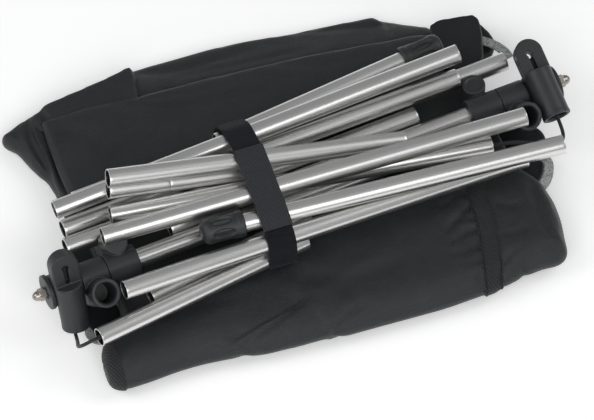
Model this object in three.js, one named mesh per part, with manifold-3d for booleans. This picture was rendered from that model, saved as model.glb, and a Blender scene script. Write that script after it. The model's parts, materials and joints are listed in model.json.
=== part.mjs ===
// A shock-corded tube-and-fabric folding rack, packed flat: a strapped bundle of aluminium poles
// and two swivel hubs, lying on its own folded fabric. Millimetres, +Z up, floor at z = 0.
import * as THREE from 'three';
import Module from 'manifold-3d';
import { mergeVertices } from 'three/addons/utils/BufferGeometryUtils.js';

const wasm = await Module();
wasm.setup();

// ---- driving dimensions -------------------------------------------------------------------
const GAP = 0.3;                 // clearance between touching pieces
const SIDES = 24;                // facets of a round pole or boss

const POLE_R = 8;                // 16 mm poles
const POLE_WALL = 1.1;
const POLE_BORE_R = POLE_R - POLE_WALL;

const FABRIC_FOLD_T = 15.2;      // thickness of each of the two fabric folds
const FABRIC_TOP = 2 * FABRIC_FOLD_T + GAP;
const TRIM_T = 1.6;              // webbing and edging thickness

const HUB_R = 13.5;              // crossbar socket and swivel boss
const AXIS_Z = 44.8;             // hub axis and lowest layer of poles
const CROSSBAR_YAW = THREE.MathUtils.degToRad(4.65);
const CROSSBAR_LENGTH = 292;

// distances along a hub's axis, from the tip of its dome nut inwards
const NUT_LENGTH = 12;
const CAP_T = 3.5;
const SWIVEL_W = 24;
const WASHER_T = 1;
const END_WALL = 6;
const CAP_X = NUT_LENGTH + GAP;
const OUTER_X = CAP_X + CAP_T + GAP;
const WASHER_X = OUTER_X + SWIVEL_W + GAP;
const INNER_X = WASHER_X + WASHER_T + GAP;
const BODY_X = INNER_X + SWIVEL_W + GAP;
const BODY_LENGTH = 28;
const HEAD_X = BODY_X + END_WALL + GAP;
const HEAD_T = 4;
const TUBE_X = HEAD_X + HEAD_T + GAP;

const BOLT_R = 3;
const BOLT_START = 5;            // the bolt's end inside the dome nut
const CAP_R = 15;
const WASHER_R = 11;
const NUT_CORNER_R = 5.5;        // corner radius of the hexagon
const NUT_DOME_R = 4.4;
const NUT_DOME_LENGTH = 5.5;
const LUG_R = 10;                // round lug beside the crossbar socket
const LUG_OFFSET = 20;
const LUG_LENGTH = 22;
const LUG_WEB_X = 12;
const LUG_WEB_Z = 10;

const SOCKET_R = 12;             // swivel's pole socket
const SOCKET_BORE_R = 8.5;
const SOCKET_OFFSET = 15;        // socket axis to hub axis
const SOCKET_END = 31;           // open end past the hub axis
const SOCKET_BACK = 12;          // closed end, on the other side of the hub axis
const SOCKET_DEPTH = 30;
const EAR_END = 41;              // tip of the flat ear that anchors the shock cord
const EAR_T = 12;
const EAR_OFFSET = 11.5;         // ear's middle plane to the hub axis
const KEYHOLE_R = 2.75;
const KEYSLOT_W = 3.6;
const KEYSLOT_LENGTH = 15;

const FOOT_R = 11.5;
const FOOT_LENGTH = 37;
const FOOT_BORE = 22;
const FOOT_CHAMFER = 1.2;
const FOOT_DOME = 7;             // length of the domed tip
const FOOT_FLAT_R = 4;           // flat left in the middle of the dome

const STRAP_X = -25;             // middle of the strap along the bundle
const STRAP_W = 25;
const STRAP_T = 1.8;
const STRAP_SLACK = 0.8;         // between the strap and the poles that it goes round
const TAB_FRONT_Y = -25;         // the loose tab runs over the bundle from here...
const TAB_BACK_Y = 51;           // ...to here, where it stays joined to the band
const TAB_MIN_Z = 60;

const FERRULE_R = POLE_BORE_R - GAP;
const FERRULE_WALL = 1.2;
const FERRULE_HALF = 30;
const JOINT_DISTANCE = 52;       // joint line to the jointed pole's left end
const CORD_R = 1.6;

// the layout is drawn about the bundle, then moved so that the box is centred on the origin
const LAYOUT_CENTRE = new THREE.Vector3(16.5, 51, 0);

// ---- materials ----------------------------------------------------------------------------
function finish(color, roughness, metalness) {
  return new THREE.MeshStandardMaterial({ color, roughness, metalness });
}
const aluminium = finish(0xb9b8b3, 0.35, 1);
const steel = finish(0xa59c90, 0.3, 1);
const nylon = finish(0x2c2f31, 0.55, 0);
const rubber = finish(0x2a2c2e, 0.8, 0);
const polyester = finish(0x303537, 0.9, 0);
const webbing = finish(0x1f2124, 0.9, 0);
const mesh = finish(0x6f7270, 0.9, 0);
const cordBlack = finish(0x151617, 0.85, 0);

// ---- solids -------------------------------------------------------------------------------
function solid(geometry) {
  const bare = geometry.clone();
  bare.deleteAttribute('normal');
  bare.deleteAttribute('uv');
  const merged = mergeVertices(bare, 1e-4);
  return new wasm.Manifold(new wasm.Mesh({
    numProp: 3,
    vertProperties: new Float32Array(merged.attributes.position.array),
    triVerts: new Uint32Array(merged.index.array),
  }));
}

function geometryOf(manifold) {
  const result = manifold.getMesh();
  const geometry = new THREE.BufferGeometry();
  geometry.setAttribute('position', new THREE.BufferAttribute(new Float32Array(result.vertProperties), 3));
  geometry.setIndex(new THREE.BufferAttribute(new Uint32Array(result.triVerts), 1));
  geometry.computeVertexNormals();
  return geometry;
}

// solid of revolution about +X from [x, radius] points that close on themselves or on the axis
function turned(points, sides = SIDES) {
  const outline = points.map(([x, radius]) => new THREE.Vector2(radius, x));
  return new THREE.LatheGeometry(outline, sides).rotateZ(-Math.PI / 2);
}

function rod(x0, x1, radius, sides = SIDES) {
  return turned([[x0, 0], [x0, radius], [x1, radius], [x1, 0]], sides);
}

function pipe(x0, x1, outer, inner, sides = SIDES) {
  return turned([[x0, inner], [x0, outer], [x1, outer], [x1, inner], [x0, inner]], sides);
}

function block(sx, sy, sz, x, y, z) {
  return new THREE.BoxGeometry(sx, sy, sz).translate(x, y, z);
}

function part(name, geometry, material) {
  const result = new THREE.Mesh(geometry, material);
  result.name = name;
  return result;
}

// ---- poles --------------------------------------------------------------------------------
const POLES = {
  back_pole_low: [[-186, 58, AXIS_Z], [220, 93.7, AXIS_Z]],
  back_pole_rear: [[-167, 82, AXIS_Z], [110, 105, AXIS_Z]],
  under_pole: [[-190, 40, AXIS_Z], [130, 66, AXIS_Z]],
  back_pole_middle: [[-40, 63.5, 61.3], [172, 80.3, 61.3]],
  foot_pole_back: [[-40, 86, 62], [134, 111, 63]],
  back_pole_top: [[-190, 66, 64], [174, 85, 89]],
  cross_pole_upper: [[-146, 56, 101.5], [108, 35, 61.5]],
  cross_pole_jointed: [[-146, 56.5, 84.5], [-10, 44.5, 63.4]],
  cross_pole_lower: [[-149, 43, 68], [175, 6.5, 59]],
  top_pole: [[-164.5, 18, 78], [207, 12.5, 78]],
  foot_pole_front: [[228, -22, 73.5], [-49, -6, 73.5]],
  front_pole_upper: [[-164.5, -36, 73.5], [200, -7, 47.5]],
  front_pole_inner: [[-140, -31, AXIS_Z], [10, -1, AXIS_Z]],
  front_pole_lower: [[-195, -60, 53], [0, -21, AXIS_Z]],
};

// a group whose +X runs from the pole's first end towards its second
function alongPole([from, to]) {
  const start = new THREE.Vector3(...from);
  const direction = new THREE.Vector3(...to).sub(start);
  const group = new THREE.Group();
  group.position.copy(start);
  group.quaternion.setFromUnitVectors(new THREE.Vector3(1, 0, 0), direction.clone().normalize());
  group.userData.length = direction.length();
  return group;
}

function plainPole(name) {
  const group = alongPole(POLES[name]);
  group.add(part(name, pipe(0, group.userData.length, POLE_R, POLE_BORE_R), aluminium));
  return group;
}

// a rubber foot pushed over the pole's second end, with a domed tip
function footSolid() {
  const domeStart = FOOT_LENGTH - FOOT_DOME;
  const rimR = FOOT_R - FOOT_CHAMFER;
  const points = [[0, POLE_R + GAP], [0, rimR], [FOOT_CHAMFER, FOOT_R], [domeStart, FOOT_R]];
  const roundR = FOOT_R - FOOT_FLAT_R;
  for (let step = 1; step <= 4; step += 1) {
    const angle = (step / 4) * Math.PI / 2;
    points.push([domeStart + FOOT_DOME * Math.sin(angle), FOOT_FLAT_R + roundR * Math.cos(angle)]);
  }
  points.push([FOOT_LENGTH, 0], [FOOT_BORE, 0], [FOOT_BORE, POLE_R + GAP], [0, POLE_R + GAP]);
  return turned(points);
}

function footedPole(name, footName) {
  const group = alongPole(POLES[name]);
  const length = group.userData.length;
  const tubeEnd = length + FOOT_BORE - GAP;
  group.add(part(name, pipe(0, tubeEnd, POLE_R, POLE_BORE_R), aluminium));
  const foot = part(footName, footSolid(), rubber);
  foot.position.x = length;
  group.add(foot);
  return group;
}

// two pole lengths that meet over an inner ferrule, with the shock cord that holds them together
function jointedPole(name) {
  const group = alongPole(POLES[name]);
  const length = group.userData.length;
  const joint = JOINT_DISTANCE;
  group.add(part('joint_pole_short', pipe(0, joint - GAP, POLE_R, POLE_BORE_R), aluminium));
  group.add(part('joint_pole_long', pipe(joint, length, POLE_R, POLE_BORE_R), aluminium));
  const ferruleBore = FERRULE_R - FERRULE_WALL;
  const ferrule = pipe(joint - FERRULE_HALF, joint + FERRULE_HALF, FERRULE_R, ferruleBore);
  group.add(part('joint_ferrule', ferrule, aluminium));
  group.add(part('shock_cord_core', rod(4, length - 4, CORD_R, 8), cordBlack));
  return group;
}

// ---- hubs ---------------------------------------------------------------------------------
// Crossbar socket with an end wall for the axle bolt, and a round lug beside it.
function hubBodySolid() {
  const sleeve = solid(rod(BODY_X, BODY_X + BODY_LENGTH, HUB_R, 32));
  const bore = solid(rod(HEAD_X - GAP, BODY_X + BODY_LENGTH + 1, POLE_R + GAP));
  const boltHole = solid(rod(BODY_X - 1, HEAD_X + 1, BOLT_R + GAP, 16));
  const lugX = BODY_X + BODY_LENGTH / 2;
  const lugPin = new THREE.CylinderGeometry(LUG_R, LUG_R, LUG_LENGTH, SIDES).rotateX(Math.PI / 2);
  const lug = solid(lugPin.translate(lugX, -LUG_OFFSET, 1));
  const web = solid(block(LUG_WEB_X, LUG_OFFSET, LUG_WEB_Z, lugX, -LUG_OFFSET / 2, 0));
  return geometryOf(sleeve.add(lug).add(web).subtract(bore).subtract(boltHole));
}

// Swivel about X: boss round the axle, pole socket opening towards +Y and offset towards side * Z,
// and a flat rounded ear towards -Y with a keyhole for the shock cord.
function swivelSolid(side) {
  const half = SWIVEL_W / 2;
  const offset = side * SOCKET_OFFSET;
  const boss = solid(rod(-half, half, HUB_R, 32));
  const axle = solid(rod(-half - 1, half + 1, BOLT_R + GAP, 16));
  const alongY = (y0, y1, radius, sides) =>
    rod(y0, y1, radius, sides).rotateZ(Math.PI / 2).translate(0, 0, offset);
  const socket = solid(alongY(-SOCKET_BACK, SOCKET_END, SOCKET_R, 32));
  const bore = solid(alongY(SOCKET_END - SOCKET_DEPTH, SOCKET_END + 1, SOCKET_BORE_R, 28));
  const earBase = EAR_END - half;
  const earTip = new THREE.CylinderGeometry(half, half, EAR_T, 28).rotateX(Math.PI / 2);
  const earZ = side * EAR_OFFSET;
  const ear = solid(earTip.translate(0, -earBase, earZ));
  const neck = solid(block(SWIVEL_W, earBase, EAR_T, 0, -earBase / 2, earZ));
  const hole = new THREE.CylinderGeometry(KEYHOLE_R, KEYHOLE_R, EAR_T * 2, 16).rotateX(Math.PI / 2);
  const keyhole = solid(hole.translate(0, -earBase + 1, earZ));
  // the slot is sunk into the ear's outer face only
  const slotY = -earBase + 1 + KEYSLOT_LENGTH / 2;
  const slot = solid(block(KEYSLOT_W, KEYSLOT_LENGTH, EAR_T, 0, slotY, earZ + side * EAR_T * 0.6));
  const body = boss.add(socket).add(ear).add(neck);
  return geometryOf(body.subtract(bore).subtract(axle).subtract(keyhole).subtract(slot));
}

function domeNutSolid() {
  const hexagon = solid(rod(NUT_DOME_LENGTH, NUT_LENGTH, NUT_CORNER_R, 6));
  const rootX = NUT_LENGTH - 2;
  const profile = [[rootX, 0], [rootX, NUT_DOME_R], [NUT_DOME_LENGTH, NUT_DOME_R]];
  for (let step = 1; step <= 5; step += 1) {
    const angle = (step / 5) * Math.PI / 2;
    profile.push([NUT_DOME_LENGTH * (1 - Math.sin(angle)), NUT_DOME_R * Math.cos(angle)]);
  }
  const dome = solid(turned(profile.reverse(), 16));
  const thread = solid(rod(BOLT_START - 1, NUT_LENGTH + 1, BOLT_R + GAP, 16));
  return geometryOf(hexagon.add(dome).subtract(thread));
}

function axleBoltSolid() {
  return turned([
    [BOLT_START, 0], [BOLT_START, BOLT_R], [HEAD_X, BOLT_R], [HEAD_X, NUT_CORNER_R],
    [HEAD_X + HEAD_T, NUT_CORNER_R], [HEAD_X + HEAD_T, 0],
  ], 16);
}

// One hub on its crossbar: everything is stacked on the axle bolt along +X.
// turns.outer and turns.inner swing each swivel's socket about X from local +Y, outerSide and
// innerSide say which way the sockets are offset, and turns.body swings the body's lug from -Y.
function hub(side, turns) {
  const group = new THREE.Group();
  group.add(part(`dome_nut_${side}`, domeNutSolid(), steel));
  group.add(part(`cap_washer_${side}`, pipe(CAP_X, CAP_X + CAP_T, CAP_R, BOLT_R + GAP, 28), nylon));
  group.add(part(`axle_bolt_${side}`, axleBoltSolid(), steel));
  const washer = pipe(WASHER_X, WASHER_X + WASHER_T, WASHER_R, BOLT_R + GAP, 20);
  group.add(part(`swivel_washer_${side}`, washer, nylon));
  const body = part(`hub_body_${side}`, hubBodySolid(), nylon);
  body.rotation.x = turns.body;
  group.add(body);
  const crossbar = pipe(TUBE_X, TUBE_X + CROSSBAR_LENGTH, POLE_R, POLE_BORE_R);
  group.add(part(`crossbar_${side}`, crossbar, aluminium));
  const outer = part(`outer_swivel_${side}`, swivelSolid(turns.outerSide), nylon);
  outer.position.x = OUTER_X + SWIVEL_W / 2;
  outer.rotation.x = turns.outer;
  group.add(outer);
  const inner = part(`inner_swivel_${side}`, swivelSolid(turns.innerSide), nylon);
  inner.position.x = INNER_X + SWIVEL_W / 2;
  inner.rotation.x = turns.inner;
  group.add(inner);
  return group;
}

// ---- strap --------------------------------------------------------------------------------
// The poles' round sections, grown by `reach`, where the strap crosses them.
function sectionPoints(reach) {
  const points = [];
  const stations = [STRAP_X - STRAP_W / 2, STRAP_X + STRAP_W / 2];
  for (const [from, to] of Object.values(STRAPPED)) {
    for (const x of stations) {
      const t = THREE.MathUtils.clamp((x - from[0]) / (to[0] - from[0]), 0, 1);
      const y = from[1] + (to[1] - from[1]) * t;
      const z = from[2] + (to[2] - from[2]) * t;
      for (let step = 0; step < 16; step += 1) {
        const angle = (step / 16) * 2 * Math.PI;
        points.push(new THREE.Vector2(y + reach * Math.cos(angle), z + reach * Math.sin(angle)));
      }
    }
  }
  return points;
}

// convex outline of points, counter-clockwise, without points that barely bend it
function convexOutline(points) {
  const sorted = [...points].sort((a, b) => a.x - b.x || a.y - b.y);
  const turn = (a, b, c) => (b.x - a.x) * (c.y - a.y) - (b.y - a.y) * (c.x - a.x);
  const chain = (list) => {
    const hull = [];
    for (const point of list) {
      while (hull.length > 1 && turn(hull.at(-2), hull.at(-1), point) <= 0.05) {
        hull.pop();
      }
      hull.push(point);
    }
    hull.pop();
    return hull;
  };
  return [...chain(sorted), ...chain(sorted.reverse())];
}

function strapSolid(inner, outer) {
  const shape = new THREE.Shape(convexOutline(sectionPoints(outer)));
  shape.holes.push(new THREE.Path(convexOutline(sectionPoints(inner))));
  const band = new THREE.ExtrudeGeometry(shape, { depth: STRAP_W, bevelEnabled: false });
  // extruded along +Z with the outline in (Y, Z): turn it to lie along +X
  const turnIn = new THREE.Matrix4().makeBasis(
    new THREE.Vector3(0, 1, 0), new THREE.Vector3(0, 0, 1), new THREE.Vector3(1, 0, 0));
  return solid(band.applyMatrix4(turnIn).translate(STRAP_X - STRAP_W / 2, 0, 0));
}

function strapParts() {
  const group = new THREE.Group();
  const inner = POLE_R + STRAP_SLACK;
  const outer = inner + STRAP_T;
  group.add(part('strap_band', geometryOf(strapSolid(inner, outer)), webbing));
  const tabRing = strapSolid(outer + GAP, outer + GAP + STRAP_T);
  const tabLength = TAB_BACK_Y - TAB_FRONT_Y;
  const upperSide = block(STRAP_W * 2, tabLength, TAB_MIN_Z, 0, 0, TAB_MIN_Z * 1.5);
  upperSide.translate(STRAP_X, (TAB_BACK_Y + TAB_FRONT_Y) / 2, 0);
  group.add(part('strap_tab', geometryOf(tabRing.intersect(solid(upperSide))), webbing));
  return group;
}

// ---- fabric -------------------------------------------------------------------------------
function sheetSolid(outline, z0, thickness) {
  const corners = outline.map(([x, y]) => new THREE.Vector2(x, y));
  const shape = new THREE.Shape(corners);
  return new THREE.ExtrudeGeometry(shape, { depth: thickness, bevelEnabled: false }).translate(0, 0, z0);
}

// a folded layer's outline, notched at both ends where the hubs hang past it
const LOWER_FOLD = [
  [-192, 178], [-150, 196], [-74, 206], [136, 196], [182, 172], [222, 168], [232, 128], [198, 112],
  [198, 6], [212, -6], [216, -44], [206, -84], [122, -104], [-62, -98], [-160, -96], [-182, -82],
  [-178, -46], [-158, -34], [-158, 54], [-176, 104],
];
const UPPER_FOLD = [
  [-162, 178], [-40, 177], [65, 169], [166, 157], [206, 150], [208, 114], [196, 110], [198, 6],
  [206, -8], [206, -44], [198, -76], [120, -96], [-60, -90], [-152, -86], [-160, -34], [-158, 54],
  [-168, 104],
];

function fabricParts() {
  const group = new THREE.Group();
  const lower = sheetSolid(LOWER_FOLD, 0, FABRIC_FOLD_T);
  const upper = sheetSolid(UPPER_FOLD, FABRIC_FOLD_T + GAP, FABRIC_FOLD_T);
  group.add(part('fabric_lower_fold', lower, polyester));
  group.add(part('fabric_upper_fold', upper, polyester));
  const trimZ = FABRIC_TOP + GAP;
  const pocket = [[171, 153], [204, 148], [205, 116], [172, 110]];
  group.add(part('corner_pocket', sheetSolid(pocket, trimZ, TRIM_T), webbing));
  const band = [[140, -8], [158, -10], [148, -58], [136, -90], [116, -93], [130, -56]];
  group.add(part('webbing_band', sheetSolid(band, trimZ, TRIM_T), webbing));
  const edgeZ = FABRIC_FOLD_T + GAP;
  const corner = [[-176, -84], [-155, -90], [-163, -48], [-176, -50]];
  group.add(part('webbing_corner', sheetSolid(corner, edgeZ, TRIM_T), webbing));
  const backEdge = [[209, 156], [220, 153], [227, 130], [211, 120]];
  group.add(part('mesh_edge_back', sheetSolid(backEdge, edgeZ, TRIM_T), mesh));
  const frontEdge = [[208, -7], [212, -10], [214, -44], [206, -78], [202, -72], [209, -44]];
  group.add(part('mesh_edge_front', sheetSolid(frontEdge, edgeZ, TRIM_T), mesh));
  return group;
}

// ---- shock cords --------------------------------------------------------------------------
function cordSolid(points) {
  const route = new THREE.CatmullRomCurve3(points.map((point) => new THREE.Vector3(...point)));
  const section = new THREE.Shape();
  section.absarc(0, 0, CORD_R, 0, 2 * Math.PI);
  return new THREE.ExtrudeGeometry(section, {
    steps: 24, curveSegments: 4, bevelEnabled: false, extrudePath: route,
  });
}

// Each hub's shock cord comes out of its outer swivel's socket and goes into a pole's open end.
const CORDS = {
  shock_cord_left: [
    [-204, -18, 30], [-204.2, -20.8, 23.5], [-204.8, -27, 18], [-206, -35.5, 19.5],
    [-208.3, -43.5, 27], [-210.5, -51, 36], [-211.3, -57.3, 44.3], [-208.3, -61.3, 51],
    [-202, -61.3, 53.2], [-196, -60.2, 52.9], [-188, -58.6, 52.6],
  ],
  shock_cord_right: [
    [239.2, 30, 51.1], [239.8, 22.4, 48.3], [240.2, 14.5, 45.2], [239.2, 6.5, 42.4], [234, 0, 42.5],
    [225, -2.6, 48], [210, 0, 54.5], [194, 4, 58], [182, 5.9, 58.9], [168, 7.3, 59.3],
  ],
};

// ---- assembly -----------------------------------------------------------------------------
const CROSSBARS = {
  left: { tip: [-232, 1.4, AXIS_Z], yaw: CROSSBAR_YAW },
  right: { tip: [265, 58.9, AXIS_Z], yaw: CROSSBAR_YAW + Math.PI },
};
// crossbar axes as poles, so that the strap goes round them too
const STRAPPED = { ...POLES };
for (const [side, { tip, yaw }] of Object.entries(CROSSBARS)) {
  const reach = TUBE_X + CROSSBAR_LENGTH;
  const far = [tip[0] + reach * Math.cos(yaw), tip[1] + reach * Math.sin(yaw), tip[2]];
  STRAPPED[`crossbar_${side}`] = [tip, far];
}

const degrees = THREE.MathUtils.degToRad;
const HUB_TURNS = {
  left: {
    outer: degrees(248), outerSide: -1, inner: degrees(128), innerSide: 1, body: degrees(220),
  },
  right: { outer: degrees(-20), outerSide: 1, inner: degrees(52), innerSide: -1, body: 0 },
};

const rack = new THREE.Group();
rack.position.copy(LAYOUT_CENTRE).negate();
for (const [side, { tip, yaw }] of Object.entries(CROSSBARS)) {
  const assembly = hub(side, HUB_TURNS[side]);
  assembly.position.set(...tip);
  assembly.rotation.z = yaw;
  rack.add(assembly);
}
for (const name of Object.keys(POLES)) {
  if (name === 'cross_pole_jointed') {
    rack.add(jointedPole(name));
  } else if (name.startsWith('foot_pole')) {
    rack.add(footedPole(name, name.replace('foot_pole', 'rubber_foot')));
  } else {
    rack.add(plainPole(name));
  }
}
rack.add(strapParts());
rack.add(fabricParts());
for (const [name, points] of Object.entries(CORDS)) {
  rack.add(part(name, cordSolid(points), cordBlack));
}

export default rack;
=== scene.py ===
"""A shock-corded folding rack, packed flat: a strapped bundle of aluminium poles with two swivel
hubs, lying on its own folded fabric. Metres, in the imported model's frame, +Z up, floor at z = 0."""

import json
import math

import bmesh
import bpy
import numpy as np
from mathutils import Matrix, Vector, bvhtree, noise


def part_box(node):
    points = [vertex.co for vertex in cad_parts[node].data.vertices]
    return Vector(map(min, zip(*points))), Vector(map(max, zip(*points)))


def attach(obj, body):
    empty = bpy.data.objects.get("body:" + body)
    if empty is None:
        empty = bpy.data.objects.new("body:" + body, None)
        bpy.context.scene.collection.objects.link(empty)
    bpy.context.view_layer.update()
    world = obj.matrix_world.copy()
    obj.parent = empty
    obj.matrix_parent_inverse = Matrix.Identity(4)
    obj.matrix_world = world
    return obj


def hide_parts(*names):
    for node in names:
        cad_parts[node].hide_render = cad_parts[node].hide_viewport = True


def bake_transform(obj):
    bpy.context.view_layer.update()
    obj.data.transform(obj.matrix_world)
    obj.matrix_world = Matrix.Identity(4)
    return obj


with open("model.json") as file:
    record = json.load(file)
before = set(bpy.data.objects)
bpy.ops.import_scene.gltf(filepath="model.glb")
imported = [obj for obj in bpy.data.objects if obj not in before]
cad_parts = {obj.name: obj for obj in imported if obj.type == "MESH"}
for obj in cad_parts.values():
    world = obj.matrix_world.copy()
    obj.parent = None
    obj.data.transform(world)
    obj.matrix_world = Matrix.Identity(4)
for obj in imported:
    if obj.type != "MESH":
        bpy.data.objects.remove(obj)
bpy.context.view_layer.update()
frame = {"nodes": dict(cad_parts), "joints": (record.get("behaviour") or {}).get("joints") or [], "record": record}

MM = 0.001
BUNDLE = "packed_bundle"
JOINTS = {joint["name"]: joint for joint in frame["joints"]}

# The design is laid out about the bundle; this is the layout's point that the frame's origin is at.
LAYOUT_CENTRE = np.array([16.5, 51.0, 0.0])


def from_layout(points):
    """Layout millimetres to frame metres."""
    return (np.array(points, float) - LAYOUT_CENTRE) * MM


# ---- camera ---------------------------------------------------------------------------------
LOOK_AT = Vector((-0.0165, -0.051, 0.060))
CAMERA_DISTANCE = 8.0              # far back, with a long lens: the view is nearly parallel


def towards(azimuth, elevation):
    """Unit vector from the object to a viewer: azimuth 0 looks along +Y."""
    a, e = math.radians(azimuth), math.radians(elevation)
    return Vector((math.sin(a) * math.cos(e), -math.cos(a) * math.cos(e), math.sin(e)))


def make_camera():
    data = bpy.data.cameras.new("camera")
    data.sensor_width = 36
    data.lens = 584.7
    camera = bpy.data.objects.new("camera", data)
    bpy.context.scene.collection.objects.link(camera)
    back = towards(-20, 55)
    camera.location = LOOK_AT + back * CAMERA_DISTANCE
    camera.rotation_mode = "QUATERNION"
    camera.rotation_quaternion = (-back).to_track_quat("-Z", "Y")
    bpy.context.scene.camera = camera


make_camera()


# ---- materials ------------------------------------------------------------------------------
class Finish:
    """A Principled material with helpers that hang procedural texture on it."""

    def __init__(self, name, colour, roughness, metallic=0.0, sheen=0.0):
        self.material = bpy.data.materials.new(name)
        self.material.use_nodes = True
        self.tree = self.material.node_tree
        self.shader = self.tree.nodes["Principled BSDF"]
        self.colour = (*colour, 1)
        self.shader.inputs["Base Color"].default_value = self.colour
        self.shader.inputs["Roughness"].default_value = roughness
        self.shader.inputs["Metallic"].default_value = metallic
        self.shader.inputs["Sheen Weight"].default_value = sheen
        self.shader.inputs["Sheen Roughness"].default_value = 0.45
        self.place = None
        self.heights = []

    def node(self, kind, **inputs):
        made = self.tree.nodes.new(kind)
        for key, value in inputs.items():
            made.inputs[key.replace("_", " ")].default_value = value
        return made

    def link(self, out, into):
        self.tree.links.new(out, into)

    def coordinates(self, scale=(1, 1, 1), turn=0.0, attribute=None):
        if attribute:
            source = self.tree.nodes.new("ShaderNodeAttribute")
            source.attribute_name = attribute
            out = source.outputs["Vector"]
        else:
            out = self.tree.nodes.new("ShaderNodeTexCoord").outputs["Object"]
        mapping = self.tree.nodes.new("ShaderNodeMapping")
        mapping.inputs["Scale"].default_value = scale
        mapping.inputs["Rotation"].default_value = (0, 0, turn)
        self.link(out, mapping.inputs["Vector"])
        return mapping.outputs["Vector"]

    def noise(self, frequency, detail=3.0, rough=0.5, **where):
        made = self.node("ShaderNodeTexNoise", Scale=frequency, Detail=detail, Roughness=rough)
        self.link(self.coordinates(**where), made.inputs["Vector"])
        return made.outputs["Fac"]

    def wave(self, period, axis="X", distortion=0.0, **where):
        made = self.node("ShaderNodeTexWave", Scale=math.pi / 10 / period, Distortion=distortion)
        made.inputs["Detail Scale"].default_value = 2.0
        made.bands_direction = axis
        self.link(self.coordinates(**where), made.inputs["Vector"])
        return made.outputs["Fac"]

    def span(self, fac, low, high):
        made = self.node("ShaderNodeMapRange")
        made.inputs["To Min"].default_value = low
        made.inputs["To Max"].default_value = high
        self.link(fac, made.inputs["Value"])
        return made.outputs["Result"]

    def window(self, fac, start, end, low, high):
        made = self.node("ShaderNodeMapRange")
        made.inputs["From Min"].default_value = start
        made.inputs["From Max"].default_value = end
        made.inputs["To Min"].default_value = low
        made.inputs["To Max"].default_value = high
        self.link(fac, made.inputs["Value"])
        return made.outputs["Result"]

    def math(self, kind, a, b):
        made = self.tree.nodes.new("ShaderNodeMath")
        made.operation = kind
        for socket, value in zip(made.inputs, (a, b)):
            if isinstance(value, (int, float)):
                socket.default_value = value
            else:
                self.link(value, socket)
        return made.outputs["Value"]

    def shade(self, fac, darker, lighter):
        """Varies the base colour between two multiples of it."""
        ramp = self.tree.nodes.new("ShaderNodeMix")
        ramp.data_type = "RGBA"
        ramp.inputs["A"].default_value = (*[min(1, c * darker) for c in self.colour[:3]], 1)
        ramp.inputs["B"].default_value = (*[min(1, c * lighter) for c in self.colour[:3]], 1)
        self.link(fac, ramp.inputs["Factor"])
        self.link(ramp.outputs["Result"], self.shader.inputs["Base Color"])

    def rough(self, fac, low, high):
        self.link(self.span(fac, low, high), self.shader.inputs["Roughness"])

    def bump(self, fac, height, strength=1.0):
        """Adds a bump layer whose full swing is height metres."""
        made = self.node("ShaderNodeBump", Strength=strength, Distance=height)
        self.link(fac, made.inputs["Height"])
        if self.heights:
            self.link(self.heights[-1].outputs["Normal"], made.inputs["Normal"])
        self.heights.append(made)
        self.link(made.outputs["Normal"], self.shader.inputs["Normal"])


def aluminium():
    finish = Finish("satin_aluminium", (0.77, 0.765, 0.75), 0.27, metallic=1.0)
    streaks = finish.noise(1.0, detail=3, attribute="grain", scale=(7, 3200, 3200))
    clouds = finish.noise(1.0, attribute="grain", scale=(22, 50, 50))
    finish.rough(streaks, 0.25, 0.31)
    radius = finish.tree.nodes.new("ShaderNodeVectorMath")
    radius.operation = "LENGTH"
    finish.link(finish.coordinates(attribute="grain", scale=(0, 1, 1)), radius.inputs[0])
    painted_bore_shade = finish.window(radius.outputs["Value"], 6.95 * MM, 7.2 * MM, 0.28, 1)  # painted shade: the bore's colour is darkened, standing in for the shadow inside the tube
    finish.shade(finish.math("MULTIPLY", finish.span(clouds, 0.86, 1), painted_bore_shade), 0.0, 1.05)
    finish.bump(streaks, 0.0000004)
    scuffs = finish.noise(1.0, detail=2, attribute="grain", scale=(160, 420, 420))
    finish.bump(finish.window(scuffs, 0.7, 0.76, 0, 1), 0.00001, 0.6)
    return finish.material


def plated_steel():
    finish = Finish("plated_steel", (0.40, 0.37, 0.335), 0.3, metallic=1.0)
    marks = finish.noise(900, detail=4)
    finish.rough(marks, 0.16, 0.36)
    finish.shade(finish.noise(140), 0.8, 1.1)
    finish.bump(marks, 0.00004)
    return finish.material


def moulded_nylon():
    finish = Finish("moulded_nylon", (0.021, 0.024, 0.026), 0.42)
    finish.shader.inputs["Specular IOR Level"].default_value = 0.45
    grain = finish.noise(2400, detail=2)
    finish.rough(finish.noise(55), 0.36, 0.52)
    finish.shade(finish.noise(38, detail=4), 0.8, 1.35)
    finish.bump(grain, 0.00005, 0.7)
    finish.bump(finish.noise(180, detail=2), 0.00009, 0.5)
    return finish.material


def moulded_rubber():
    finish = Finish("moulded_rubber", (0.015, 0.0175, 0.0185), 0.45)
    finish.rough(finish.noise(90), 0.36, 0.54)
    finish.shade(finish.noise(60, detail=4), 0.8, 1.5)
    finish.bump(finish.noise(1900, detail=3), 0.00008)
    return finish.material


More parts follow.
